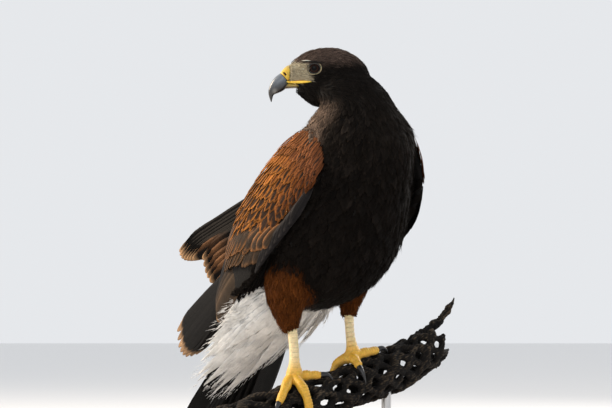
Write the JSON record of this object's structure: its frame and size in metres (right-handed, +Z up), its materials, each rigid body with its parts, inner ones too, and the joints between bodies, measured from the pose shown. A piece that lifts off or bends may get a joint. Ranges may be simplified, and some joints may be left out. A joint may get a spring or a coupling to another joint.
{
  "type": "perched Harris's hawk model on a display stand",
  "caption": "Life-size perched dark hawk with rufous shoulders, white undertail and hooked bill, gripping a hollow dead cactus stem on a round stand.",
  "frame": {"origin": "centre of the underside of the display stand's base", "axes": "+Z up, -X the way the bill points, -Y the side the breast and the right wing are seen from"},
  "size_m": [0.2988, 0.317, 0.4457],
  "materials": {
    "feather_dark": "matt dark brown contour feathers",
    "feather_rufous": "matt rufous feathers with dark centres",
    "feather_black": "satin black-brown flight feathers with pale tips",
    "feather_white": "matt soft white coverts",
    "skin_yellow": "satin scaly yellow skin",
    "horn": "satin blue-grey to black horn",
    "eye": "wet dark brown",
    "perch_wood": "rough weathered dead cactus wood",
    "base_wood": "satin dark stained wood",
    "rod_metal": "satin"
  },
  "bodies": {
    "root": {"bill_lower": "skin_yellow", "bill_upper": "horn", "cere": "skin_yellow", "claw_left_hind": "horn", "claw_left_inner": "horn", "claw_left_middle": "horn", "claw_left_outer": "horn", "claw_right_hind": "horn", "claw_right_inner": "horn", "claw_right_middle": "horn", "claw_right_outer": "horn", "eye_left": "eye", "eye_right": "eye", "foot_left": "skin_yellow", "foot_right": "skin_yellow", "head": "feather_dark", "neck": "feather_dark", "perch": "perch_wood", "stand_base": "base_wood", "stand_rod_1": "rod_metal", "stand_rod_2": "rod_metal", "tail": "feather_black", "tarsus_left": "skin_yellow", "tarsus_right": "skin_yellow", "thigh_left": "feather_rufous", "thigh_right": "feather_rufous", "torso": "feather_dark", "undertail_coverts": "feather_white", "uppertail_coverts": "feather_white", "wing_left": "feather_rufous", "wing_right": "feather_rufous"}
  },
  "joints": []
}
